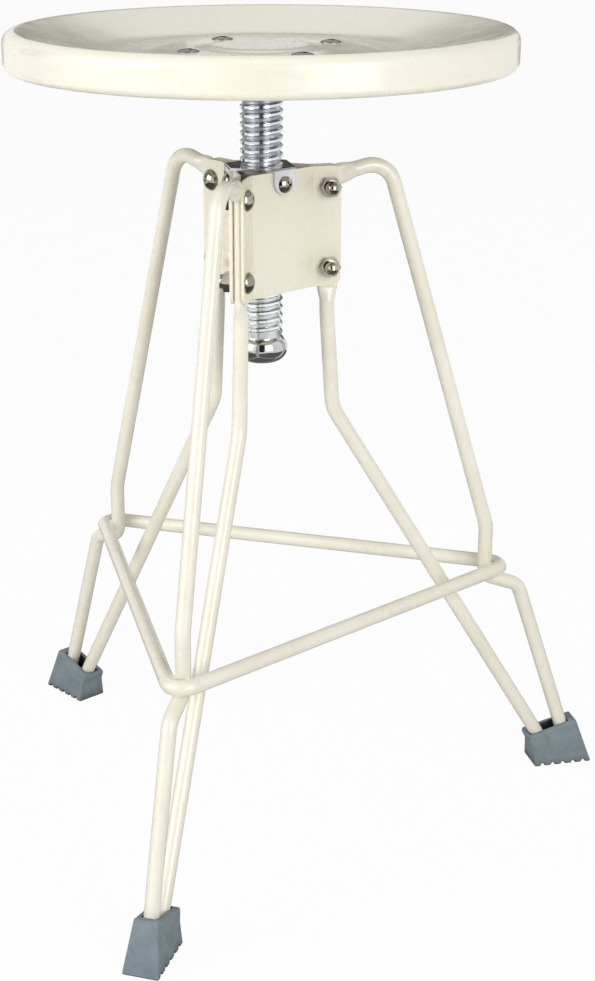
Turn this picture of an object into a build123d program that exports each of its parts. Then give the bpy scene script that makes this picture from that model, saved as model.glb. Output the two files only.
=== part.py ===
from build123d import *
import math
import os

# Screw-adjusted stool. A dished steel seat stands on a threaded spindle, which turns in a nut held in a
# triangular hub of three folded plates. The hub clamps three legs of bent rod, which carry a triangular
# foot ring and stand in rubber feet.
# Millimetres, +Z up. The origin is on the floor under the spindle, and the front leg points along -Y.

os.makedirs("parts", exist_ok=True)

# Directions of the legs, and of the hub plates halfway between them, in degrees about +Z
front_angle = 270.0
leg_turn_angle = 120.0
half_turn_angle = leg_turn_angle / 2
leg_angles = {
    "front": front_angle,
    "right": front_angle + leg_turn_angle,
    "left": front_angle - leg_turn_angle,
}
plate_angles = {
    "rear": front_angle + leg_turn_angle + half_turn_angle,
    "front_left": front_angle - half_turn_angle,
    "front_right": front_angle + half_turn_angle,
}

# Rods of the legs and the foot ring
rod_diameter = 10.8
ring_rod_diameter = 10.8
weld_gap = 0.2

# Hub plates
hub_bottom_height = 403.0
plate_height = 85.5
plate_thickness = 2.0
panel_apothem = 20.5
plate_bend_radius = 3.0
plate_corner_radius = 6.0
bolt_edge_distance = 14.4
bolt_bend_margin = 3.5
wing_edge_margin = 1.0

# Hub bolts and their cap nuts
bolt_diameter = 6.0
bolt_hole_clearance = 0.2
bolt_head_diameter = 15.0
bolt_head_height = 4.8
bolt_head_edge = 0.8
bolt_tip_gap = 0.8
cap_nut_across_flats = 13.0
cap_nut_hex_height = 6.0
cap_nut_dome_diameter = 10.2
cap_nut_height = 13.0
cap_nut_wall = 1.8
nut_bore_clearance = 0.05

# Leg: pressed flat in the hub, then two strands down to one foot
flat_width = 14.8
flat_thickness = 6.4
flat_overhang = 2.0
flat_taper = 9.0
top_bend_drop = 8.8
top_bend_radius = 9.0
crown_reach = 43.4
crown_rise = 2.0
crown_bend_radius = 18.0
lean_drop = 8.0
lean_bend_radius = 60.0
inner_lean = 5.0
inner_bend_drop = 92.3
inner_bend_radius = 30.0
outer_floor_radius = 256.2
strand_floor_spread = 15.2

# Foot ring, and the jog of each outer strand that carries it
ring_height = 174.0
ring_leg_radius = 175.6
ring_corner_radius = 10.4
kink_rise = 33.6
kink_bend_radius = 30.0
jog_fall = 20.0
jog_reach = 28.0
jog_bend_radius = 10.0
ankle_bend_radius = 12.0

# Rubber foot: a leaning wedge with a pocket for both rod ends and a notched tread
foot_inner_margin = 19.5
foot_outer_margin = 12.8
foot_width = 26.5
foot_side_draft = 7.5
foot_outer_lean = 19.5
foot_inner_height = 25.0
foot_outer_height = 36.4
foot_lip_overhang = 4.5
foot_lip_height = 3.0
foot_waist_height = 16.0
foot_waist_inset = 1.2
foot_edge_radius = 1.2
pocket_floor = 9.0
pocket_clearance = 0.2
rod_end_gap = 0.1
tread_teeth = 6
notch_width = 4.2
notch_depth = 2.6
tooth_radius = 1.0
notch_radius = 0.6

# Spindle with a bevelled trapezoidal thread, and its nut
thread_diameter = 30.0
thread_pitch = 6.0
thread_depth = 1.8
thread_crest = 1.6
thread_bevel = 0.8
thread_flank_angle = 25.0
thread_clearance = 0.25
thread_root_overlap = 0.4
thread_below_hub = 34.7
thread_above_cap = 65.5
spigot_diameter = 18.0
spigot_clearance = 0.05
nut_length = 65.0
nut_panel_gap = 0.3

# Top plate of the hub and its three screws
cap_thickness = 2.0
cap_hole_clearance = 0.75
cap_bend_radius = 1.8
tab_width = 20.0
tab_length = 16.0
tab_gap = 0.1
tab_screw_drop = 9.0
tab_screw_diameter = 5.0
tab_screw_clearance = 0.1
tab_screw_head_diameter = 11.6
tab_screw_head_height = 3.2
tab_screw_tip_wall = 2.0

# Stop knob on the spindle's plain end, and the screw that keeps it there
knob_diameter = 37.0
knob_tube_radius = 10.0
knob_top_rise = 8.3
knob_recess_diameter = 19.0
knob_recess_depth = 4.8
knob_journal_diameter = 14.0
knob_running_clearance = 0.05
knob_end_play = 0.1
knob_screw_diameter = 6.0
knob_screw_length = 9.0
knob_screw_head_diameter = 17.0
knob_screw_head_height = 3.6

# Seat flange on the spindle
flange_diameter = 130.0
flange_thickness = 4.0
boss_diameter = 40.0
boss_height = 8.0
flange_edge_radius = 1.0

# Seat pan, a pressed sheet: crown, screw flat, floor, bowl, rim and hem from the middle outwards
seat_diameter = 350.0
seat_sheet = 2.0
seat_angle = 47.0
dish_depth = 13.2
rim_height = 26.0
rim_shoulder_radius = 8.0
rim_crest_flat = 2.2
rim_crest_radius = 12.0
rim_hem_radius = 5.0
rim_hem_width = 9.0
crown_radius = 43.0
crown_height = 1.6
crown_slope_width = 10.0
screw_flat_margin = 14.5
step_width = 13.0
step_depth = 2.6
bowl_width = 55.8
bowl_floor_radius = 60.0
soft_bend_radius = 40.0
least_land = 0.2

# Seat screws and nuts
seat_screw_circle = 111.0
seat_screw_count = 4
seat_screw_diameter = 6.0
seat_screw_clearance = 0.25
seat_screw_head_diameter = 15.0
seat_screw_head_height = 2.0
seat_screw_overrun = 1.5
seat_nut_across_flats = 10.0
seat_nut_height = 5.0

# Cross recess and rim of a screw head
recess_length_share = 0.52
recess_width_share = 0.14
recess_depth_share = 0.55
head_edge_share = 0.22

# Hub geometry: each plate's wings lie flat against the legs on either side of it
corner_angle = math.radians(half_turn_angle)
flat_half = flat_thickness / 2
hub_top = hub_bottom_height + plate_height
panel_outer = panel_apothem + plate_thickness


def wing_start(face_apothem, wing_offset):
    """Radius along a leg's plane at which a panel's face runs into a wing's face."""
    return (face_apothem - wing_offset * math.sin(corner_angle)) / math.cos(corner_angle)


wing_turn = math.pi / 2 - corner_angle
wing_bend_reach = wing_start(panel_outer, flat_half + plate_thickness)
wing_bend_tangent = plate_bend_radius * math.tan(wing_turn / 2)
leg_hub_radius = wing_bend_reach + wing_bend_tangent + bolt_bend_margin + bolt_head_diameter / 2
wing_reach = leg_hub_radius + bolt_head_diameter / 2 + wing_edge_margin
bolt_heights = (hub_bottom_height + bolt_edge_distance, hub_top - bolt_edge_distance)
bolt_hole_radius = bolt_diameter / 2 + bolt_hole_clearance

# Ring geometry: each outer strand stands inside a corner of the ring and touches both its bars
ring_leg_distance = (rod_diameter + ring_rod_diameter) / 2 + weld_gap
ring_half_corner = math.radians(90 - half_turn_angle)
ring_vertex_radius = ring_leg_radius + ring_leg_distance / math.sin(ring_half_corner)
ring_apex_radius = ring_vertex_radius - ring_corner_radius * (1 / math.sin(ring_half_corner) - 1)

# Leg centreline, as radius and height in the leg's own upright plane
jog_slope = math.radians(jog_fall)
jog_drop = ring_leg_distance - (ring_apex_radius - ring_leg_radius) * math.sin(jog_slope)
flat_bottom = hub_bottom_height - flat_overhang
lean_start = (leg_hub_radius, flat_bottom - flat_taper - lean_drop)
inner_bend = (leg_hub_radius + inner_lean, hub_bottom_height - inner_bend_drop)
inner_floor = (outer_floor_radius - strand_floor_spread, 0)
top_bend = (leg_hub_radius, hub_top - top_bend_drop)
crown = (leg_hub_radius + crown_reach, hub_top + crown_rise)
kink = (ring_leg_radius, ring_height + kink_rise)
jog_start = (ring_leg_radius, ring_height - jog_drop / math.cos(jog_slope))
jog_end = (ring_leg_radius + jog_reach, jog_start[1] - jog_reach * math.tan(jog_slope))
outer_floor = (outer_floor_radius, 0)


def along(start, end, distance):
    """The point at a distance from start towards end."""
    share = distance / math.dist(start, end)
    return tuple(a + (b - a) * share for a, b in zip(start, end))


def at_height(upper, lower, height):
    """The point at a height on the line through two points."""
    share = (upper[1] - height) / (upper[1] - lower[1])
    return tuple(a + (b - a) * share for a, b in zip(upper, lower))


def rod_end(upper, lower):
    """Where a strand ends, with its lowest edge just above the pocket's floor."""
    lean = math.atan2(lower[0] - upper[0], upper[1] - lower[1])
    return at_height(upper, lower, pocket_floor + rod_end_gap + rod_diameter / 2 * math.sin(lean))


run_length = math.dist(top_bend, crown)
run_flat_length = (wing_reach + flat_overhang - leg_hub_radius) / (crown_reach / run_length)
run_flat_end = along(top_bend, crown, run_flat_length)
run_round_start = along(top_bend, crown, run_flat_length + flat_taper)


def turned(x, y, angle):
    """A point in plan, turned about the origin."""
    a = math.radians(angle)
    return (x * math.cos(a) - y * math.sin(a), x * math.sin(a) + y * math.cos(a))


def leg_plane(angle):
    """Upright plane through the axis: local x points outwards, local y up, and the normal clockwise."""
    a = math.radians(angle)
    return Plane((0, 0, 0), x_dir=(math.cos(a), math.sin(a), 0), z_dir=(math.sin(a), -math.cos(a), 0))


def panel_plane(angle, apothem):
    """Upright plane that a hub panel's face lies in: local y is up and the normal points outwards."""
    outward = Vector(math.cos(math.radians(angle)), math.sin(math.radians(angle)), 0)
    return Plane(outward * apothem, x_dir=(-outward.Y, outward.X, 0), z_dir=outward)


def section_plane(upright, point, towards):
    """Plane across a leg at one point of its centreline, with local x in the leg's own plane."""
    direction = upright.from_local_coords((towards[0] - point[0], towards[1] - point[1], 0))
    origin = upright.from_local_coords((point[0], point[1], 0))
    return Plane(origin, x_dir=upright.z_dir.cross(direction), z_dir=direction)


# Three legs, each one rod
for leg_name, leg_angle in leg_angles.items():
    upright = leg_plane(leg_angle)
    round_top = (leg_hub_radius, flat_bottom - flat_taper)
    flat_start = (leg_hub_radius, flat_bottom)
    inner_points = (round_top, lean_start, inner_bend, rod_end(inner_bend, inner_floor))
    outer_points = (run_round_start, crown, kink, jog_start, jog_end, rod_end(jog_end, outer_floor))
    outer_radii = (crown_bend_radius, kink_bend_radius, jog_bend_radius, ankle_bend_radius)
    with BuildPart() as leg:
        with BuildLine(upright) as inner_strand:
            FilletPolyline(*inner_points, radius=(lean_bend_radius, inner_bend_radius))
        with BuildSketch(section_plane(upright, round_top, lean_start)):
            Circle(rod_diameter / 2)
        sweep(path=inner_strand.line)
        with BuildSketch(section_plane(upright, round_top, flat_start)):
            Circle(rod_diameter / 2)
        with BuildSketch(section_plane(upright, flat_start, top_bend)):
            SlotOverall(flat_width, flat_thickness)
        loft()
        with BuildLine(upright) as clamped_part:
            FilletPolyline(flat_start, top_bend, run_flat_end, radius=top_bend_radius)
        with BuildSketch(section_plane(upright, flat_start, top_bend)):
            SlotOverall(flat_width, flat_thickness)
        sweep(path=clamped_part.line)
        with BuildSketch(section_plane(upright, run_flat_end, crown)):
            SlotOverall(flat_width, flat_thickness)
        with BuildSketch(section_plane(upright, run_round_start, crown)):
            Circle(rod_diameter / 2)
        loft()
        with BuildLine(upright) as outer_strand:
            FilletPolyline(*outer_points, radius=outer_radii)
        with BuildSketch(section_plane(upright, run_round_start, crown)):
            Circle(rod_diameter / 2)
        sweep(path=outer_strand.line)
        with BuildSketch(upright):
            with Locations(*[(leg_hub_radius, height) for height in bolt_heights]):
                Circle(bolt_hole_radius)
        extrude(amount=flat_thickness, both=True, mode=Mode.SUBTRACT)
    leg.part.label = f"leg_{leg_name}"
    export_step(leg.part, f"parts/leg_{leg_name}.step")

# Foot ring
ring_plane = Plane.XY.offset(ring_height)
with BuildPart() as foot_ring:
    with BuildLine(ring_plane) as ring_path:
        ring_corners = [turned(ring_vertex_radius, 0, angle) for angle in leg_angles.values()]
        FilletPolyline(*ring_corners, radius=ring_corner_radius, close=True)
    with BuildSketch(Plane(ring_path.line @ 0, z_dir=ring_path.line % 0)):
        Circle(ring_rod_diameter / 2)
    sweep(path=ring_path.line)
foot_ring.part.label = "foot_ring"
export_step(foot_ring.part, "parts/foot_ring.step")

# Three rubber feet
foot_inner = inner_floor[0] - foot_inner_margin
foot_outer = outer_floor[0] + foot_outer_margin
tooth_pitch = (foot_outer - foot_inner + notch_width) / tread_teeth
tread_outline = [(foot_inner, 0)]
tread_radii = [tooth_radius]
for notch in range(1, tread_teeth):
    notch_end = foot_inner + notch * tooth_pitch
    tread_outline += [(notch_end - notch_width, 0), (notch_end - notch_width / 2, notch_depth), (notch_end, 0)]
    tread_radii += [tooth_radius, notch_radius, tooth_radius]
foot_lean = math.tan(math.radians(foot_outer_lean))
foot_top_inner = foot_inner - foot_lip_overhang
foot_outline = tread_outline + [
    (foot_outer, 0),
    (foot_outer - foot_outer_height * foot_lean, foot_outer_height),
    (foot_top_inner, foot_inner_height),
    (foot_top_inner, foot_inner_height - foot_lip_height),
    (foot_inner - foot_waist_inset, foot_waist_height),
]
foot_radii = tread_radii + [tooth_radius] + [foot_edge_radius] * 4
pocket_half_width = rod_diameter / 2 + pocket_clearance
pocket_top = foot_outer_height + pocket_floor


def pocket_wall(upper, lower, side):
    """Top and bottom of the pocket's wall beside a strand, on its inner (-1) or outer (1) side."""
    lean = math.atan2(lower[0] - upper[0], upper[1] - lower[1])
    reach = side * pocket_half_width / math.cos(lean)
    ends = (at_height(upper, lower, pocket_top), at_height(upper, lower, pocket_floor))
    return [(radius + reach, height) for radius, height in ends]


pocket_outline = pocket_wall(inner_bend, inner_floor, -1) + pocket_wall(jog_end, outer_floor, 1)[::-1]
draft = math.radians(foot_side_draft)
for leg_name, leg_angle in leg_angles.items():
    upright = leg_plane(leg_angle)
    with BuildPart() as foot:
        with BuildSketch(upright):
            with BuildLine():
                FilletPolyline(*foot_outline, radius=foot_radii, close=True)
            make_face()
        extrude(amount=foot_width / 2, both=True)
        for side in (-1, 1):
            base_edge = upright.from_local_coords((0, 0, side * foot_width / 2))
            outwards = upright.from_local_coords((0, math.sin(draft), side * math.cos(draft)))
            split(bisect_by=Plane(base_edge, z_dir=outwards), keep=Keep.BOTTOM)
        fillet(foot.edges().filter_by(lambda e: e.center().Z > foot_waist_height / 2), foot_edge_radius)
        with BuildSketch(upright):
            with BuildLine():
                Polyline(*pocket_outline, close=True)
            make_face()
        extrude(amount=pocket_half_width, both=True, mode=Mode.SUBTRACT)
    foot.part.label = f"foot_{leg_name}"
    export_step(foot.part, f"parts/foot_{leg_name}.step")


def wing_point(side, reach, offset):
    """A point of a plate's outline on its wing, in the plate's own plan: x outwards, y along the panel."""
    x = reach * math.cos(corner_angle) + offset * math.sin(corner_angle)
    y = reach * math.sin(corner_angle) - offset * math.cos(corner_angle)
    return (x, side * y)


# Three hub plates, each a panel with a wing folded out at either end
inner_reach = wing_start(panel_apothem, flat_half)
plate_outline = [
    wing_point(1, wing_reach, flat_half),
    wing_point(1, inner_reach, flat_half),
    wing_point(-1, inner_reach, flat_half),
    wing_point(-1, wing_reach, flat_half),
    wing_point(-1, wing_reach, flat_half + plate_thickness),
    wing_point(-1, wing_bend_reach, flat_half + plate_thickness),
    wing_point(1, wing_bend_reach, flat_half + plate_thickness),
    wing_point(1, wing_reach, flat_half + plate_thickness),
]
convex_radius = plate_bend_radius + plate_thickness
plate_radii = [0, convex_radius, convex_radius, 0, 0, plate_bend_radius, plate_bend_radius, 0]
tab_screw_height = hub_top - tab_screw_drop
tab_screw_hole_radius = tab_screw_diameter / 2 + tab_screw_clearance
for plate_name, plate_angle in plate_angles.items():
    plan = Plane((0, 0, hub_bottom_height), x_dir=Vector(1, 0, 0).rotate(Axis.Z, plate_angle))
    with BuildPart() as plate:
        with BuildSketch(plan):
            with BuildLine():
                FilletPolyline(*plate_outline, radius=plate_radii, close=True)
            make_face()
        extrude(amount=plate_height)
        wing_ends = plate.faces().sort_by(lambda f: math.hypot(f.center().X, f.center().Y))[-2:]
        fillet(wing_ends.edges().filter_by(Axis.Z, reverse=True), plate_corner_radius)
        for leg_angle in (plate_angle - half_turn_angle, plate_angle + half_turn_angle):
            with BuildSketch(leg_plane(leg_angle)):
                with Locations(*[(leg_hub_radius, height) for height in bolt_heights]):
                    Circle(bolt_hole_radius)
            extrude(amount=flat_half + 2 * plate_thickness, both=True, mode=Mode.SUBTRACT)
        with BuildSketch(panel_plane(plate_angle, panel_outer)):
            with Locations((0, tab_screw_height)):
                Circle(tab_screw_hole_radius)
        extrude(amount=-plate_thickness, mode=Mode.SUBTRACT)
    plate.part.label = f"hub_plate_{plate_name}"
    export_step(plate.part, f"parts/hub_plate_{plate_name}.step")


def head_profile(radius, height, edge):
    """Half outline of a domed head that stands on the local x axis, from its middle outwards."""
    with BuildLine() as outline:
        Polyline((0, height), (0, 0), (radius, 0), (radius, edge))
        TangentArc((0, height), (radius, edge), tangent=(1, 0))
    return outline.line


# Hub bolts: domed heads on the counterclockwise side of each leg
grip_half = flat_half + plate_thickness
bolt_tip = grip_half + cap_nut_height - cap_nut_wall - bolt_tip_gap
with BuildPart() as hub_bolt:
    with BuildSketch(Plane.XZ):
        with BuildLine():
            add(head_profile(bolt_head_diameter / 2, bolt_head_height, bolt_head_edge))
        make_face()
    revolve(axis=Axis.Z)
    with BuildSketch():
        Circle(bolt_diameter / 2)
    extrude(amount=-(grip_half + bolt_tip))

bolt_places = []
nut_places = []
for leg_angle in leg_angles.values():
    upright = leg_plane(leg_angle)
    for height in bolt_heights:
        head_seat = upright.from_local_coords((leg_hub_radius, height, -grip_half))
        nut_seat = upright.from_local_coords((leg_hub_radius, height, grip_half))
        bolt_places.append(Plane(head_seat, x_dir=upright.x_dir, z_dir=-upright.z_dir))
        nut_places.append(Plane(nut_seat, x_dir=upright.x_dir, z_dir=upright.z_dir))

with BuildPart() as hub_bolts:
    with Locations(*bolt_places):
        add(hub_bolt.part)
hub_bolts.part.label = "hub_bolts"
export_step(hub_bolts.part, "parts/hub_bolts.step")

# Hub cap nuts: a hexagon under a dome, with a blind hole
with BuildPart() as cap_nut:
    with BuildSketch():
        RegularPolygon(cap_nut_across_flats / 2, 6, major_radius=False)
    extrude(amount=cap_nut_hex_height)
    with BuildSketch(Plane.XZ):
        with BuildLine():
            dome_radius = cap_nut_dome_diameter / 2
            add(head_profile(dome_radius, cap_nut_height, cap_nut_height - dome_radius))
        make_face()
    revolve(axis=Axis.Z)
    with BuildSketch():
        Circle(bolt_diameter / 2 + nut_bore_clearance)
    extrude(amount=cap_nut_height - cap_nut_wall, mode=Mode.SUBTRACT)

with BuildPart() as hub_cap_nuts:
    with Locations(*nut_places):
        add(cap_nut.part)
hub_cap_nuts.part.label = "hub_cap_nuts"
export_step(hub_cap_nuts.part, "parts/hub_cap_nuts.step")

# Top plate of the hub: it rests on the panels' top edges, with a tab folded down over each panel
tab_inner = panel_outer + tab_gap
tab_outer = tab_inner + cap_thickness
cap_top = hub_top + cap_thickness
tab_round_height = hub_top - tab_length + tab_width / 2
tab_left = (-tab_width / 2, tab_round_height)
tab_right = (tab_width / 2, tab_round_height)
thread_radius = thread_diameter / 2
core_radius = thread_radius - thread_depth
cap_corners = []
for plate_angle in plate_angles.values():
    for side in (-1, 1):
        cap_corners.append(turned(tab_outer, side * tab_width / 2, plate_angle))

with BuildPart() as top_plate:
    with BuildSketch(Plane.XY.offset(hub_top)):
        Polygon(*cap_corners, align=None)
        Circle(thread_radius + cap_hole_clearance, mode=Mode.SUBTRACT)
    extrude(amount=cap_thickness)
    for plate_angle in plate_angles.values():
        with BuildSketch(panel_plane(plate_angle, tab_inner)):
            with BuildLine():
                Polyline(tab_left, (-tab_width / 2, cap_top), (tab_width / 2, cap_top), tab_right)
                ThreePointArc(tab_right, (0, hub_top - tab_length), tab_left)
            make_face()
        extrude(amount=cap_thickness)
    folds = top_plate.edges().group_by(Axis.Z)[-1].filter_by(lambda e: abs(e.length - tab_width) < weld_gap)
    fillet(folds, cap_bend_radius)
    for plate_angle in plate_angles.values():
        with BuildSketch(panel_plane(plate_angle, tab_inner)):
            with Locations((0, tab_screw_height)):
                Circle(tab_screw_hole_radius)
        extrude(amount=cap_thickness, mode=Mode.SUBTRACT)
top_plate.part.label = "top_plate"
export_step(top_plate.part, "parts/top_plate.step")


def cross_screw(head_diameter, head_height, shank_diameter, shank_length):
    """A screw with a domed cross-recess head standing on the XY plane and its shank below."""
    with BuildPart() as screw:
        with BuildSketch(Plane.XZ):
            with BuildLine():
                add(head_profile(head_diameter / 2, head_height, head_height * head_edge_share))
            make_face()
        revolve(axis=Axis.Z)
        with BuildSketch():
            Circle(shank_diameter / 2)
        extrude(amount=-shank_length)
        with BuildSketch(Plane.XY.offset(head_height)):
            for turn in (0, 90):
                recess_width = head_diameter * recess_width_share
                Rectangle(head_diameter * recess_length_share, recess_width, rotation=turn)
        extrude(amount=-head_height * recess_depth_share, mode=Mode.SUBTRACT)
    return screw.part


# Top plate screws: through a tab and a panel into the nut
nut_radius = panel_apothem - nut_panel_gap
nut_bore_radius = core_radius + thread_clearance
nut_wall = nut_radius - thread_radius - thread_clearance
tab_screw_tip_radius = nut_radius - nut_wall + tab_screw_tip_wall
tab_screw = cross_screw(
    tab_screw_head_diameter, tab_screw_head_height, tab_screw_diameter, tab_outer - tab_screw_tip_radius
)
tab_screw_places = []
for plate_angle in plate_angles.values():
    face = panel_plane(plate_angle, tab_outer)
    tab_screw_places.append(Plane(face.from_local_coords((0, tab_screw_height, 0)), face.x_dir, face.z_dir))
with BuildPart() as top_plate_screws:
    with Locations(*tab_screw_places):
        add(tab_screw)
top_plate_screws.part.label = "top_plate_screws"
export_step(top_plate_screws.part, "parts/top_plate_screws.step")

# Spindle
thread_bottom = hub_bottom_height - thread_below_hub
thread_top = cap_top + thread_above_cap
flange_bottom = thread_top + boss_height
flange_top = flange_bottom + flange_thickness
knob_centre = thread_bottom - knob_end_play / 2 - knob_top_rise
knob_recess_floor = knob_centre - knob_tube_radius + knob_recess_depth
journal_bottom = knob_recess_floor - knob_end_play / 2
bevel_depth = thread_depth - thread_bevel
bevel_half = thread_crest / 2 + thread_bevel
flank_slope = math.tan(math.radians(thread_flank_angle))
thread_root = 2 * (bevel_half + bevel_depth * flank_slope)


def thread_section(helix, clearance):
    """A thread's section across the start of its helix, grown by a clearance all round."""
    overlap_half = thread_root / 2 + thread_root_overlap * flank_slope
    upper_side = [
        (-thread_root_overlap, overlap_half),
        (bevel_depth, bevel_half),
        (thread_depth, thread_crest / 2),
    ]
    lower_side = [(depth, -half) for depth, half in upper_side]
    with BuildSketch(Plane(helix @ 0, x_dir=(1, 0, 0), z_dir=helix % 0)) as section:
        Polygon(*lower_side, *upper_side[::-1], align=None)
        if clearance:
            offset(amount=clearance, kind=Kind.INTERSECTION)
    return section.sketch


thread_start = thread_bottom + thread_root / 2 + thread_root_overlap
thread_rise = thread_top - thread_bottom - thread_root - 2 * thread_root_overlap
with BuildPart() as spindle:
    with BuildSketch(Plane.XY.offset(thread_bottom)):
        Circle(core_radius)
    extrude(amount=thread_top - thread_bottom)
    with BuildLine() as thread_path:
        thread_helix = Helix(thread_pitch, thread_rise, core_radius, center=(0, 0, thread_start))
    sweep(thread_section(thread_helix, 0), path=thread_path.line, is_frenet=True)
    with BuildSketch(Plane.XY.offset(thread_top)):
        Circle(spigot_diameter / 2)
    extrude(amount=flange_top - thread_top)
    with BuildSketch(Plane.XY.offset(thread_bottom)):
        Circle(knob_journal_diameter / 2)
    extrude(amount=journal_bottom - thread_bottom)
    with BuildSketch(Plane.XY.offset(journal_bottom)):
        Circle(knob_screw_diameter / 2 + nut_bore_clearance)
    extrude(amount=knob_screw_length + rod_end_gap, mode=Mode.SUBTRACT)
spindle.part.label = "spindle"
export_step(spindle.part, "parts/spindle.step")

# Spindle nut: its thread groove is in step with the spindle's thread
nut_bottom = hub_top - nut_length
turns_below = math.floor((nut_bottom - thread_start) / thread_pitch) - 1
groove_start = thread_start + turns_below * thread_pitch
groove_turns = math.ceil((hub_top - groove_start) / thread_pitch) + 1
with BuildPart() as tap:
    with BuildSketch(Plane.XY.offset(groove_start - thread_pitch)):
        Circle(nut_bore_radius)
    extrude(amount=(groove_turns + 2) * thread_pitch)
    with BuildLine() as groove_path:
        groove_helix = Helix(
            thread_pitch, groove_turns * thread_pitch, core_radius, center=(0, 0, groove_start)
        )
    sweep(thread_section(groove_helix, thread_clearance), path=groove_path.line, is_frenet=True)

with BuildPart() as spindle_nut:
    with BuildSketch(Plane.XY.offset(nut_bottom)):
        Circle(nut_radius)
    extrude(amount=nut_length)
    add(tap.part, mode=Mode.SUBTRACT)
    for plate_angle in plate_angles.values():
        with BuildSketch(panel_plane(plate_angle, tab_screw_tip_radius - rod_end_gap)):
            with Locations((0, tab_screw_height)):
                Circle(tab_screw_diameter / 2 + nut_bore_clearance)
        extrude(amount=nut_radius, mode=Mode.SUBTRACT)
spindle_nut.part.label = "spindle_nut"
export_step(spindle_nut.part, "parts/spindle_nut.step")

# Stop knob
knob_radius = knob_diameter / 2
knob_ring_radius = knob_radius - knob_tube_radius
knob_top_radius = knob_ring_radius + math.sqrt(knob_tube_radius**2 - knob_top_rise**2)
with BuildPart() as stop_knob:
    with BuildSketch(Plane((0, 0, knob_centre), x_dir=(1, 0, 0), z_dir=(0, -1, 0))):
        with BuildLine():
            Polyline(
                (knob_ring_radius, -knob_tube_radius),
                (0, -knob_tube_radius),
                (0, knob_top_rise),
                (knob_top_radius, knob_top_rise),
            )
            ThreePointArc(
                (knob_top_radius, knob_top_rise), (knob_radius, 0), (knob_ring_radius, -knob_tube_radius)
            )
        make_face()
    revolve(axis=Axis.Z)
    with BuildSketch(Plane.XY.offset(knob_recess_floor)):
        Circle(knob_recess_diameter / 2)
    extrude(amount=-knob_recess_depth, mode=Mode.SUBTRACT)
    with BuildSketch(Plane.XY.offset(knob_recess_floor)):
        Circle(knob_journal_diameter / 2 + knob_running_clearance)
    extrude(amount=knob_diameter, mode=Mode.SUBTRACT)
stop_knob.part.label = "stop_knob"
export_step(stop_knob.part, "parts/stop_knob.step")

# Knob screw, head down, against the journal's end
knob_screw_stock = cross_screw(
    knob_screw_head_diameter, knob_screw_head_height, knob_screw_diameter, knob_screw_length
)
with BuildPart() as knob_screw:
    with Locations(Plane((0, 0, journal_bottom), z_dir=(0, 0, -1))):
        add(knob_screw_stock)
knob_screw.part.label = "knob_screw"
export_step(knob_screw.part, "parts/knob_screw.step")

# Seat flange with its boss
seat_screw_radius = seat_screw_circle / 2
seat_hole_radius = seat_screw_diameter / 2 + seat_screw_clearance
with BuildPart() as seat_flange:
    with BuildSketch(Plane.XY.offset(flange_bottom)):
        Circle(flange_diameter / 2)
    extrude(amount=flange_thickness)
    fillet(seat_flange.edges(), flange_edge_radius)
    with BuildSketch(Plane.XY.offset(thread_top)):
        Circle(boss_diameter / 2)
    extrude(amount=boss_height)
    with BuildSketch(Plane.XY.offset(thread_top)):
        Circle(spigot_diameter / 2 + spigot_clearance)
        with PolarLocations(seat_screw_radius, seat_screw_count, start_angle=seat_angle):
            Circle(seat_hole_radius)
    extrude(amount=boss_height + flange_thickness, mode=Mode.SUBTRACT)
seat_flange.part.label = "seat_flange"
export_step(seat_flange.part, "parts/seat_flange.step")

# Seat pan: the outline is the sheet's upper face, from the middle of the crown to the hem's edge
seat_radius = seat_diameter / 2
screw_flat = flange_top + seat_sheet
screw_flat_radius = seat_screw_radius + screw_flat_margin
floor_height = screw_flat - step_depth
floor_inner_radius = screw_flat_radius + step_width
crest_radius = seat_radius - rim_shoulder_radius - rim_crest_flat
floor_outer_radius = crest_radius - bowl_width
seat_crest = screw_flat + dish_depth
rim_bottom = seat_crest - rim_height

# The bends at both edges of the seat's floor share its width, so a narrow floor tightens them
step_bend_length = soft_bend_radius * math.tan(math.atan2(step_depth, step_width) / 2)
bowl_bend_length = bowl_floor_radius * math.tan(math.atan2(seat_crest - floor_height, bowl_width) / 2)
floor_land = floor_outer_radius - floor_inner_radius - least_land
bend_share = min(1, floor_land / (step_bend_length + bowl_bend_length))
pan_outline = [
    (0, screw_flat + crown_height),
    (crown_radius - crown_slope_width, screw_flat + crown_height),
    (crown_radius, screw_flat),
    (screw_flat_radius, screw_flat),
    (floor_inner_radius, floor_height),
    (floor_outer_radius, floor_height),
    (crest_radius, seat_crest),
    (seat_radius, seat_crest),
    (seat_radius, rim_bottom),
    (seat_radius - rim_hem_width, rim_bottom),
]
floor_radii = [bend_share * soft_bend_radius, bend_share * bowl_floor_radius]
rim_radii = [rim_crest_radius, rim_shoulder_radius, rim_hem_radius]
pan_radii = [soft_bend_radius] * 3 + floor_radii + rim_radii
with BuildPart() as seat_pan:
    with BuildSketch(Plane.XZ):
        with BuildLine():
            upper_face = FilletPolyline(*pan_outline, radius=pan_radii)
            offset(upper_face, amount=seat_sheet, side=Side.RIGHT)
        make_face()
    revolve(axis=Axis.Z)
    with BuildSketch(Plane.XY.offset(flange_top)):
        with PolarLocations(seat_screw_radius, seat_screw_count, start_angle=seat_angle):
            Circle(seat_hole_radius)
    extrude(amount=2 * seat_sheet, mode=Mode.SUBTRACT)
seat_pan.part.label = "seat_pan"
export_step(seat_pan.part, "parts/seat_pan.step")

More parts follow.
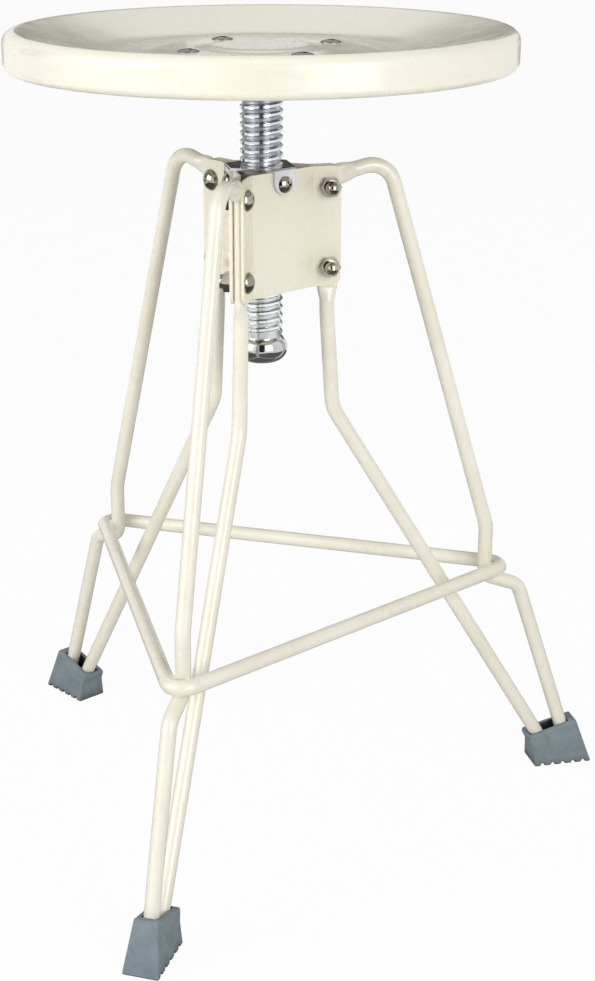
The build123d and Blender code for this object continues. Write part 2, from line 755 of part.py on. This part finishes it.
# Seat screws and their nuts under the flange
seat_screw_grip = seat_sheet + flange_thickness
seat_screw = cross_screw(
    seat_screw_head_diameter,
    seat_screw_head_height,
    seat_screw_diameter,
    seat_screw_grip + seat_nut_height + seat_screw_overrun,
)
with BuildPart() as seat_screws:
    with Locations((0, 0, screw_flat)):
        with PolarLocations(seat_screw_radius, seat_screw_count, start_angle=seat_angle):
            add(seat_screw)
seat_screws.part.label = "seat_screws"
export_step(seat_screws.part, "parts/seat_screws.step")

with BuildPart() as seat_nuts:
    with BuildSketch(Plane.XY.offset(flange_bottom)):
        with PolarLocations(seat_screw_radius, seat_screw_count, start_angle=seat_angle):
            RegularPolygon(seat_nut_across_flats / 2, 6, major_radius=False)
            Circle(seat_screw_diameter / 2 + nut_bore_clearance, mode=Mode.SUBTRACT)
    extrude(amount=-seat_nut_height)
seat_nuts.part.label = "seat_nuts"
export_step(seat_nuts.part, "parts/seat_nuts.step")
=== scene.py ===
import math

import bmesh
import bpy
from mathutils import Matrix, Vector


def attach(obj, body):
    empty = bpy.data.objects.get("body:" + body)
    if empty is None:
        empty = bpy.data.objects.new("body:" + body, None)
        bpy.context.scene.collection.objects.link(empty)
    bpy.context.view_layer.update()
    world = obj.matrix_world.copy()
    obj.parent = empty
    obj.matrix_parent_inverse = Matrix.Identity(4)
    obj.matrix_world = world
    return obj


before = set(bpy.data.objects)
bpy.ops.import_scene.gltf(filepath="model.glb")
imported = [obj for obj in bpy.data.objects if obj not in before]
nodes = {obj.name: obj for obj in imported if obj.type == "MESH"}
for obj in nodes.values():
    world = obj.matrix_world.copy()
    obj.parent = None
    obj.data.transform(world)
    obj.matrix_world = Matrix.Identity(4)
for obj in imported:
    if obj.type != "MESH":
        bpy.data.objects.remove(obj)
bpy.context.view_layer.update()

# Metres in the part's own frame: +Z up, the origin on the floor under the spindle
leg_angles = {"front": 270, "right": 30, "left": 150}
rod_radius = 0.0054
ring_height = 0.174
ring_leg_radius = 0.1756
ring_apex_radius = 0.1872
ring_side_angle = 60
jog_fall = math.radians(20)
weld_half_gap = 0.0001
thread_core_radius = 0.0132
# Reach of the darkening in the thread's roots, real grease and painted shade alike
root_grease_and_shade_depth = 0.0005
root_grease_and_shade_smear = 0.0016
# Heights over which the spindle turns to painted light below the hub, out of the seat's painted shade
lit_spindle_start_height = 0.46
lit_spindle_full_height = 0.41
dust_low_height = 0.004
dust_high_height = 0.034
foot_pocket_reach = 0.018


# Node materials


class Paint:
    """A material under construction: one Principled shader and the nodes that feed it."""

    def __init__(self, name, **values):
        self.material = bpy.data.materials.new(name)
        self.material.use_nodes = True
        self.tree = self.material.node_tree
        self.shader = self.tree.nodes["Principled BSDF"]
        self.place = self.add("ShaderNodeTexCoord").outputs["Object"]
        for socket, value in values.items():
            self.shader.inputs[socket.replace("_", " ")].default_value = value

    def add(self, kind, feeds=None, **settings):
        node = self.tree.nodes.new(kind)
        for key, value in settings.items():
            setattr(node, key, value)
        for socket, value in (feeds or {}).items():
            if isinstance(value, bpy.types.NodeSocket):
                self.tree.links.new(value, node.inputs[socket])
            else:
                node.inputs[socket].default_value = value
        return node

    def stretched(self, scale):
        return self.add("ShaderNodeMapping", {"Vector": self.place, "Scale": scale}).outputs["Vector"]

    def noise(self, scale, detail, roughness=0.55, place=None):
        feeds = {"Vector": place or self.place, "Scale": scale, "Detail": detail, "Roughness": roughness}
        return self.add("ShaderNodeTexNoise", feeds).outputs["Fac"]

    def ramp(self, value, *stops):
        """A blend between two stops of (position, colour)."""
        node = self.add("ShaderNodeValToRGB", {"Fac": value})
        for element, (position, colour) in zip(node.color_ramp.elements, stops):
            element.position = position
            element.color = (*colour, 1.0)
        return node.outputs["Color"]

    def math(self, operation, a, b):
        return self.add("ShaderNodeMath", {0: a, 1: b}, operation=operation).outputs["Value"]

    def spread(self, value, low, high, to_low=0.0, to_high=1.0):
        feeds = {"Value": value, "From Min": low, "From Max": high, "To Min": to_low, "To Max": to_high}
        return self.add("ShaderNodeMapRange", feeds).outputs["Result"]

    def mix(self, factor, a, b):
        """Colour a where the factor is 0, colour b where it is 1."""
        node = self.add("ShaderNodeMix", data_type="RGBA")
        factor_socket, a_socket, b_socket, result_socket = 0, 6, 7, 2
        for index, value in ((factor_socket, factor), (a_socket, a), (b_socket, b)):
            if isinstance(value, bpy.types.NodeSocket):
                self.tree.links.new(value, node.inputs[index])
            else:
                node.inputs[index].default_value = (*value, 1.0)
        return node.outputs[result_socket]

    def edges(self, radius):
        """0 on a flat or gently curved face, towards 1 at a corner."""
        rounded = self.add("ShaderNodeBevel", {"Radius": radius}, samples=6).outputs["Normal"]
        flat = self.add("ShaderNodeNewGeometry").outputs["Normal"]
        feeds = {0: rounded, 1: flat}
        likeness = self.add("ShaderNodeVectorMath", feeds, operation="DOT_PRODUCT").outputs["Value"]
        return self.spread(likeness, low=0.995, high=0.80)

    def height(self):
        return self.add("ShaderNodeSeparateXYZ", {"Vector": self.place}).outputs["Z"]

    def bump(self, *layers):
        """Layers of (height, strength, distance), each laid over the one before."""
        normal = None
        for value, strength, distance in layers:
            feeds = {"Height": value, "Strength": strength, "Distance": distance}
            if normal is not None:
                feeds["Normal"] = normal
            normal = self.add("ShaderNodeBump", feeds).outputs["Normal"]
        self.tree.links.new(normal, self.shader.inputs["Normal"])

    def feed(self, **sockets):
        for socket, value in sockets.items():
            self.tree.links.new(value, self.shader.inputs[socket.replace("_", " ")])
        return self.material


def enamel(name, pale, deep, grime, cloud_scale):
    """Baked gloss enamel: cloudy cream, faint orange peel, rubbed edges and scattered specks."""
    speck_share = 0.15
    rubbed_share = 0.22
    edge_width = 0.0009
    p = Paint(name, Coat_Weight=0.25, Coat_Roughness=0.12, Specular_IOR_Level=0.5)
    clouds = p.ramp(p.noise(cloud_scale, detail=4), (0.35, pale), (0.68, deep))
    specks = p.spread(p.noise(scale=620, detail=1, roughness=0.4), low=0.74, high=0.80)
    colour = p.mix(p.math("MULTIPLY", specks, speck_share), clouds, grime)
    corners = p.edges(edge_width)
    wear = p.spread(p.noise(scale=140, detail=3), low=0.42, high=0.62)
    rubbed = p.math("MULTIPLY", corners, wear)
    colour = p.mix(p.math("MULTIPLY", rubbed, rubbed_share), colour, grime)
    orange_peel = p.noise(scale=260, detail=2, roughness=0.4)
    grain = p.noise(scale=1500, detail=1)
    p.bump((orange_peel, 0.07, 0.0004), (grain, 0.03, 0.0001))
    roughness = p.spread(p.noise(scale=45, detail=4), low=0.3, high=0.7, to_low=0.20, to_high=0.32)
    return p.feed(Base_Color=colour, Roughness=roughness)


def plating(name, bright, dull, lines, smoothest):
    """Polished plating with fine tool lines, clouded by handling and grey in the corners."""
    corner_share = 0.5
    edge_width = 0.0006
    roughest = smoothest * 2.4
    p = Paint(name, Metallic=1.0)
    clouds = p.ramp(p.noise(scale=55, detail=5), (0.32, bright), (0.72, dull))
    corners = p.math("MULTIPLY", p.edges(edge_width), p.noise(scale=220, detail=3))
    colour = p.mix(p.math("MULTIPLY", corners, corner_share), clouds, dull)
    tool_lines = p.noise(scale=1.0, detail=2, roughness=0.6, place=p.stretched(lines))
    p.bump((tool_lines, 0.05, 0.0001))
    handled = p.noise(scale=90, detail=4)
    roughness = p.spread(handled, low=0.3, high=0.75, to_low=smoothest, to_high=roughest)
    return p.feed(Base_Color=colour, Roughness=roughness)


def threaded(name, bright, grease_and_shade, lines):
    """Plated thread whose roots are darkened by grease and by painted shade, painted lighter with less
    root darkening below the hub's top, darker above it where the seat's shade falls.
    """
    lit_below_hub_share = 0.7
    dulled = tuple(0.86 * c for c in bright)
    # A lighter copy of the plating: painted light for the spindle below the hub
    lit_bright = tuple(min(1.16 * c, 0.95) for c in bright)
    p = Paint(name, Metallic=1.0)
    across = p.add("ShaderNodeVectorMath", {0: p.place, 1: (1.0, 1.0, 0.0)}, operation="MULTIPLY")
    feeds = {0: across.outputs["Vector"]}
    radius = p.add("ShaderNodeVectorMath", feeds, operation="LENGTH").outputs["Value"]
    # Painted shade, partly real grease: the thread's roots darken towards the root colour
    smear = p.math("MULTIPLY", p.math("SUBTRACT", p.noise(scale=160, detail=4), 0.5), root_grease_and_shade_smear)
    bare_of_grease_and_shade = p.spread(p.math("ADD", radius, smear), thread_core_radius, thread_core_radius + root_grease_and_shade_depth)
    # Painted light: below the hub's top the spindle is lighter, with less root darkening; above it lies
    # the seat's painted shade
    lit_below_hub = p.spread(p.height(), lit_spindle_start_height, lit_spindle_full_height)
    clouds = p.ramp(p.noise(scale=70, detail=4), (0.3, bright), (0.75, dulled))
    clouds = p.mix(lit_below_hub, clouds, lit_bright)
    bare_of_grease_and_shade = p.math("MAXIMUM", bare_of_grease_and_shade, p.math("MULTIPLY", lit_below_hub, lit_below_hub_share))
    turned = p.noise(scale=1.0, detail=2, roughness=0.6, place=p.stretched(lines))
    p.bump((turned, 0.06, 0.0001))
    film_roughness = p.spread(bare_of_grease_and_shade, low=0.0, high=1.0, to_low=0.22, to_high=0.0)
    metal_roughness = p.spread(p.noise(scale=120, detail=4), low=0.3, high=0.7, to_low=0.13, to_high=0.22)
    roughness = p.math("ADD", film_roughness, metal_roughness)
    return p.feed(Base_Color=p.mix(bare_of_grease_and_shade, grease_and_shade, clouds), Roughness=roughness)


def rubber(name, pale, deep, dust):
    """Moulded grey rubber: mottled, matt, dusty on top, scuffed at its edges, with painted shade
    darkening its pocket.
    """
    dust_share = 0.30
    scuff_share = 0.45
    edge_width = 0.0012
    # A near-black copy of the deep grey, used for painted shade
    painted_pocket_shade = tuple(0.12 * c for c in deep)
    p = Paint(name, Specular_IOR_Level=0.35)
    mottle = p.ramp(p.noise(scale=95, detail=5, roughness=0.65), (0.30, deep), (0.70, pale))
    upper = p.spread(p.height(), dust_low_height, dust_high_height)
    dusty = p.math("MULTIPLY", upper, p.spread(p.noise(scale=180, detail=4), low=0.35, high=0.75))
    colour = p.mix(p.math("MULTIPLY", dusty, dust_share), mottle, dust)
    corners = p.edges(edge_width)
    scuffed = p.math("MULTIPLY", corners, p.spread(p.noise(scale=260, detail=3), low=0.35, high=0.6))
    colour = p.mix(p.math("MULTIPLY", scuffed, scuff_share), colour, dust)
    # Painted shade: ambient occlusion darkens the foot's pocket
    feeds = {"Distance": foot_pocket_reach}
    open_to_light = p.add("ShaderNodeAmbientOcclusion", feeds, samples=8).outputs["AO"]
    colour = p.mix(p.spread(open_to_light, low=0.30, high=0.75), painted_pocket_shade, colour)
    lumps = p.noise(scale=420, detail=4)
    grain = p.noise(scale=2600, detail=2)
    p.bump((lumps, 0.22, 0.0006), (grain, 0.12, 0.0002))
    roughness = p.spread(p.noise(scale=130, detail=3), low=0.3, high=0.7, to_low=0.55, to_high=0.78)
    return p.feed(Base_Color=colour, Roughness=roughness)


def machined(name, bright, stain, lines):
    """Bare turned steel, brushed and lightly stained."""
    stain_share = 0.55
    p = Paint(name, Metallic=1.0)
    stains = p.spread(p.noise(scale=70, detail=5, roughness=0.6), low=0.50, high=0.72)
    colour = p.mix(p.math("MULTIPLY", stains, stain_share), bright, stain)
    brushed = p.noise(scale=1.0, detail=3, roughness=0.6, place=p.stretched(lines))
    p.bump((brushed, 0.15, 0.0002))
    roughness = p.spread(p.noise(scale=140, detail=3), low=0.3, high=0.7, to_low=0.30, to_high=0.46)
    return p.feed(Base_Color=colour, Roughness=roughness)


grime = (0.420, 0.375, 0.290)
seat_enamel = enamel(
    "seat_enamel",
    pale=(0.855, 0.828, 0.720),
    deep=(0.825, 0.793, 0.675),
    grime=grime,
    cloud_scale=7,
)
plate_enamel = enamel(
    "plate_enamel",
    pale=(0.842, 0.808, 0.672),
    deep=(0.808, 0.768, 0.622),
    grime=grime,
    cloud_scale=16,
)
rod_enamel = enamel(
    "rod_enamel",
    pale=(0.850, 0.820, 0.715),
    deep=(0.800, 0.757, 0.630),
    grime=grime,
    cloud_scale=22,
)
bright_plating = plating(
    "bright_plating",
    bright=(0.72, 0.73, 0.75),
    dull=(0.52, 0.53, 0.55),
    lines=(3000, 90, 90),
    smoothest=0.06,
)
screw_plating = plating(
    "screw_plating",
    bright=(0.50, 0.475, 0.41),
    dull=(0.28, 0.262, 0.215),
    lines=(1400, 1400, 1400),
    smoothest=0.08,
)
# Painted dark reflection: a half-bright copy of the screw plating, for the seat's screws
painted_dark_screw_plating = plating(
    "painted_dark_screw_plating",
    bright=(0.25, 0.24, 0.215),
    dull=(0.14, 0.133, 0.115),
    lines=(1400, 1400, 1400),
    smoothest=0.08,
)
spindle_plating = threaded(
    "spindle_plating",
    bright=(0.78, 0.81, 0.86),
    # Root colour: grease with painted shade
    grease_and_shade=(0.36, 0.38, 0.41),
    lines=(60, 60, 5200),
)
foot_rubber = rubber(
    "foot_rubber",
    pale=(0.210, 0.256, 0.280),
    deep=(0.152, 0.192, 0.213),
    dust=(0.345, 0.390, 0.410),
)
bare_steel = machined(
    "bare_steel",
    bright=(0.47, 0.47, 0.48),
    stain=(0.20, 0.17, 0.14),
    lines=(900, 900, 2400),
)

finishes = {
    "seat_pan": seat_enamel,
    "foot_ring": rod_enamel,
    "hub_bolts": screw_plating,
    "hub_cap_nuts": screw_plating,
    "top_plate": bright_plating,
    "top_plate_screws": screw_plating,
    "spindle_nut": bare_steel,
    "spindle": spindle_plating,
    "stop_knob": bright_plating,
    "knob_screw": screw_plating,
    "seat_flange": bare_steel,
    # The seat's screws take the half-bright copy: painted dark reflection
    "seat_screws": painted_dark_screw_plating,
    "seat_nuts": bare_steel,
}
for leg in leg_angles:
    finishes[f"leg_{leg}"] = rod_enamel
    finishes[f"foot_{leg}"] = foot_rubber
for plate in ("rear", "front_left", "front_right"):
    finishes[f"hub_plate_{plate}"] = plate_enamel
for name, material in finishes.items():
    nodes[name].data.materials.clear()
    nodes[name].data.materials.append(material)


# Weld beads, painted over, where the foot ring touches the legs

bead_radius = 0.0032
bead_half_width = 0.0013
bead_half_height = 0.0016
bead_saddle = 0.0006
bead_steps = 40
bead_corners = 10
fine_ripple, fine_waves = 0.10, 9
coarse_ripple, coarse_waves, coarse_start = 0.05, 4, 1.3


def weld_bead(name, centre, across, along):
    """A rippled ring of weld round the spot where two rods cross, squeezed between them."""
    beside = across.cross(along).normalized()
    mesh = bpy.data.meshes.new(name)
    bm = bmesh.new()
    rings = []
    for step in range(bead_steps):
        turn = 2 * math.pi * step / bead_steps
        direction = along * math.cos(turn) + beside * math.sin(turn)
        fine = fine_ripple * math.sin(fine_waves * turn)
        coarse = coarse_ripple * math.sin(coarse_waves * turn + coarse_start)
        ripple = 1 + fine + coarse
        lift = bead_saddle * math.cos(2 * turn)
        ring = []
        for corner in range(bead_corners):
            around = 2 * math.pi * corner / bead_corners
            out = bead_radius + bead_half_width * ripple * math.cos(around)
            rise = lift + bead_half_height * ripple * math.sin(around)
            ring.append(bm.verts.new(centre + direction * out + across * rise))
        rings.append(ring)
    for step in range(bead_steps):
        here, beyond = rings[step], rings[(step + 1) % bead_steps]
        for corner in range(bead_corners):
            following = (corner + 1) % bead_corners
            bm.faces.new((here[corner], here[following], beyond[following], beyond[corner]))
    bmesh.ops.recalc_face_normals(bm, faces=bm.faces)
    for face in bm.faces:
        face.smooth = True
    bm.to_mesh(mesh)
    bm.free()
    bead = bpy.data.objects.new(name, mesh)
    bpy.context.collection.objects.link(bead)
    mesh.materials.append(rod_enamel)
    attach(bead, "frame")


up = Vector((0, 0, 1))
contact_distance = rod_radius + weld_half_gap
for leg, angle in leg_angles.items():
    a = math.radians(angle)
    outward = Vector((math.cos(a), math.sin(a), 0))
    post = outward * ring_leg_radius + up * ring_height
    for side, turn in (("near", ring_side_angle), ("far", -ring_side_angle)):
        towards = Matrix.Rotation(math.radians(turn), 3, "Z") @ outward
        weld_bead(f"weld_{leg}_{side}", post + towards * contact_distance, towards, up)
    down = outward * -math.sin(jog_fall) - up * math.cos(jog_fall)
    apex = outward * ring_apex_radius + up * ring_height
    weld_bead(f"weld_{leg}_under", apex + down * contact_distance, down, up.cross(outward))


# Studio: a white floor that keeps a faint shadow, soft lamps, and cards that only reflections see

floor_span = 60
floor_drop = 0.0005
floor_grey = (0.86, 0.86, 0.86, 1)
floor_white_share = 0.94
white_light = (1, 1, 1, 1)
world_lighting = 0.40
world_seen = 0.96
middle = Vector((0, 0, 0.40))


def seen_directly(tree):
    """1 for camera, glossy and transmission rays."""
    path = tree.nodes.new("ShaderNodeLightPath")
    total = path.outputs["Is Camera Ray"]
    for kind in ("Is Glossy Ray", "Is Transmission Ray"):
        node = tree.nodes.new("ShaderNodeMath")
        node.operation = "MAXIMUM"
        tree.links.new(total, node.inputs[0])
        tree.links.new(path.outputs[kind], node.inputs[1])
        total = node.outputs["Value"]
    return total


def flat_sheet(name, size, location, look_at=None):
    mesh = bpy.data.meshes.new(name)
    x, y = size[0] / 2, size[1] / 2
    mesh.from_pydata([(-x, -y, 0), (x, -y, 0), (x, y, 0), (-x, y, 0)], [], [(0, 1, 2, 3)])
    sheet = bpy.data.objects.new(name, mesh)
    bpy.context.collection.objects.link(sheet)
    sheet.location = location
    if look_at is not None:
        sheet.rotation_euler = (look_at - sheet.location).to_track_quat("Z", "Y").to_euler()
    return sheet


floor = flat_sheet("floor", (floor_span, floor_span), (0, 0, -floor_drop))
floor_paint = bpy.data.materials.new("floor_paint")
floor_paint.use_nodes = True
tree = floor_paint.node_tree
tree.nodes.clear()
output = tree.nodes.new("ShaderNodeOutputMaterial")
matt = tree.nodes.new("ShaderNodeBsdfDiffuse")
matt.inputs["Color"].default_value = floor_grey
white = tree.nodes.new("ShaderNodeEmission")
blend = tree.nodes.new("ShaderNodeMixShader")
share = tree.nodes.new("ShaderNodeMath")
share.operation = "MULTIPLY"
share.inputs[1].default_value = floor_white_share
tree.links.new(seen_directly(tree), share.inputs[0])
tree.links.new(share.outputs["Value"], blend.inputs["Fac"])
tree.links.new(matt.outputs["BSDF"], blend.inputs[1])
tree.links.new(white.outputs["Emission"], blend.inputs[2])
tree.links.new(blend.outputs["Shader"], output.inputs["Surface"])
floor.data.materials.append(floor_paint)

world = bpy.data.worlds.new("studio")
bpy.context.scene.world = world
world.use_nodes = True
tree = world.node_tree
background = tree.nodes["Background"]
background.inputs["Color"].default_value = white_light
strength = tree.nodes.new("ShaderNodeMapRange")
strength.inputs["To Min"].default_value = world_lighting
strength.inputs["To Max"].default_value = world_seen
tree.links.new(seen_directly(tree), strength.inputs["Value"])
tree.links.new(strength.outputs["Result"], background.inputs["Strength"])


def lamp(name, azimuth, elevation, distance, size, watts, colour=(1, 1, 1)):
    """A soft box round the stool: azimuth 0 is the front leg's side, positive towards its right."""
    data = bpy.data.lights.new(name, "AREA")
    data.shape = "RECTANGLE"
    data.size, data.size_y = size
    data.energy = watts
    data.color = colour
    a, e = math.radians(azimuth), math.radians(elevation)
    away = Vector((math.sin(a) * math.cos(e), -math.cos(a) * math.cos(e), math.sin(e)))
    box = bpy.data.objects.new(name, data)
    bpy.context.collection.objects.link(box)
    box.location = middle + away * distance
    box.rotation_euler = (-away).to_track_quat("-Z", "Y").to_euler()


warm_white = (1.0, 0.99, 0.975)
lamp("key", azimuth=-45, elevation=20, distance=2.2, size=(1.5, 1.5), watts=28, colour=warm_white)
lamp("fill", azimuth=52, elevation=20, distance=2.4, size=(1.2, 1.6), watts=28)
lamp("top", azimuth=15, elevation=82, distance=2.2, size=(1.6, 1.6), watts=4)


def card(name, azimuth, height, distance, size, shade):
    """A card that only reflections see, turned to the stool's middle; a shade above 1 is a soft box."""
    a = math.radians(azimuth)
    place = Vector((math.sin(a) * distance, -math.cos(a) * distance, height))
    sheet = flat_sheet(name, size, place, middle)
    for flag in ("camera", "diffuse", "shadow", "transmission", "volume_scatter"):
        setattr(sheet, f"visible_{flag}", False)
    cloth = bpy.data.materials.new(name)
    cloth.use_nodes = True
    cloth.node_tree.nodes.clear()
    glow = cloth.node_tree.nodes.new("ShaderNodeEmission")
    glow.inputs["Color"].default_value = white_light
    glow.inputs["Strength"].default_value = shade
    end = cloth.node_tree.nodes.new("ShaderNodeOutputMaterial")
    cloth.node_tree.links.new(glow.outputs["Emission"], end.inputs["Surface"])
    sheet.data.materials.append(cloth)


card("card_camera", azimuth=17, height=1.05, distance=1.5, size=(0.75, 2.3), shade=0.02)
card("card_left_low", azimuth=-95, height=0.17, distance=1.4, size=(0.5, 0.38), shade=0.04)
card("card_left_high", azimuth=-95, height=0.875, distance=1.4, size=(0.5, 0.75), shade=0.04)
card("card_back", azimuth=193, height=0.80, distance=1.6, size=(1.0, 0.8), shade=0.05)
card("card_boss", azimuth=198, height=0.745, distance=1.5, size=(0.20, 0.045), shade=2.5)
card("card_hub", azimuth=197, height=0.5425, distance=0.5, size=(0.80, 0.115), shade=0.02)
card("card_floor", azimuth=0, height=-0.0002, distance=0.0, size=(2.0, 2.0), shade=0.12)
card("card_window", azimuth=52, height=0.429, distance=1.3, size=(0.60, 0.022), shade=22.0)


# Camera, as fitted to the photograph, whose frame is 595 by 981 pixels

photo_width, photo_height = 595, 981
focal_pixels = 1851.04
optical_centre = (259.46, 522.97)
camera_place = Vector((0, -1.29151, 0.71172))
camera_turn = math.radians(17.68)
pitch = math.radians(-20.69)
yaw = math.radians(-0.1)
roll = math.radians(-0.2)
sensor_width = 36
forward = Vector((math.sin(yaw) * math.cos(pitch), math.cos(yaw) * math.cos(pitch), math.sin(pitch)))
right = Vector((math.cos(yaw), -math.sin(yaw), 0))
upward = right.cross(forward)
level_right = right * math.cos(roll) + upward * math.sin(roll)
level_up = upward * math.cos(roll) - right * math.sin(roll)
placed = Matrix((level_right, level_up, -forward)).transposed().to_4x4()
placed.translation = camera_place
camera_data = bpy.data.cameras.new("camera")
camera_data.sensor_width = sensor_width
camera_data.lens = focal_pixels * sensor_width / photo_height
camera_data.shift_x = (photo_width / 2 - optical_centre[0]) / photo_height
camera_data.shift_y = (optical_centre[1] - photo_height / 2) / photo_height
camera = bpy.data.objects.new("camera", camera_data)
bpy.context.collection.objects.link(camera)
camera.matrix_world = Matrix.Rotation(camera_turn, 4, "Z") @ placed
bpy.context.scene.camera = camera
bpy.context.scene.view_settings.view_transform = "Standard"
